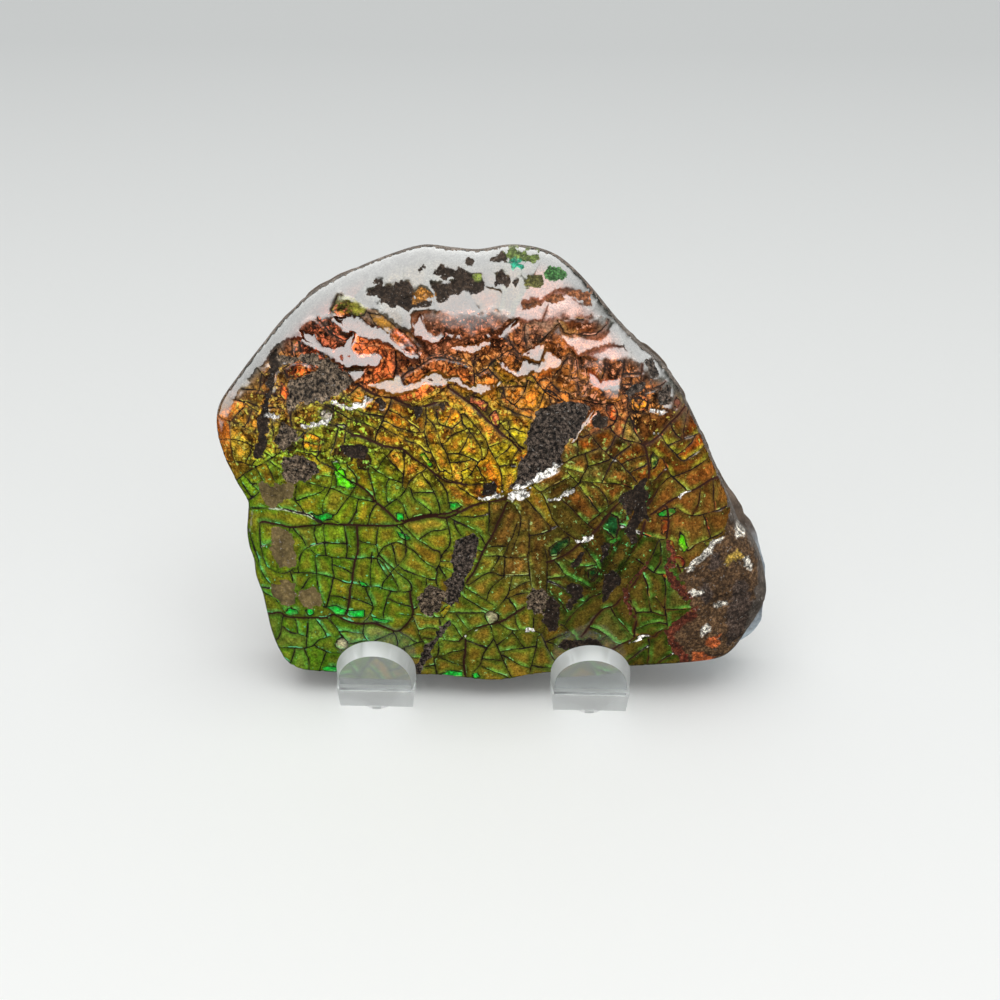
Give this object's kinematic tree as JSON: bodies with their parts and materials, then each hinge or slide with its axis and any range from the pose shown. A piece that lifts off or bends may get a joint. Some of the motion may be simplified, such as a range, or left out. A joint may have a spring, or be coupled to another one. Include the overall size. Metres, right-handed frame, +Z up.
{
  "type": "ammolite specimen",
  "caption": "Polished ammolite fossil slab with iridescent cracked shell on dark shale, leaning on a small clear two-prong display easel.",
  "frame": {"origin": "centre of the object's bounding box, at the bottom, on the surface it stands on", "axes": "+X to the viewer's right along the slab's width, +Y from the polished face towards the easel's back leg, +Z up"},
  "size_m": [0.0686, 0.0482, 0.0536],
  "materials": {
    "ammolite_stone": "polished iridescent shell plates in green, gold and red with dark brown cracks, on dull grey-brown shale",
    "clear_plastic": "clear moulded plastic with softly frosted rims"
  },
  "bodies": {
    "root": {"ammolite": "ammolite_stone", "display_stand": "clear_plastic"}
  },
  "joints": []
}
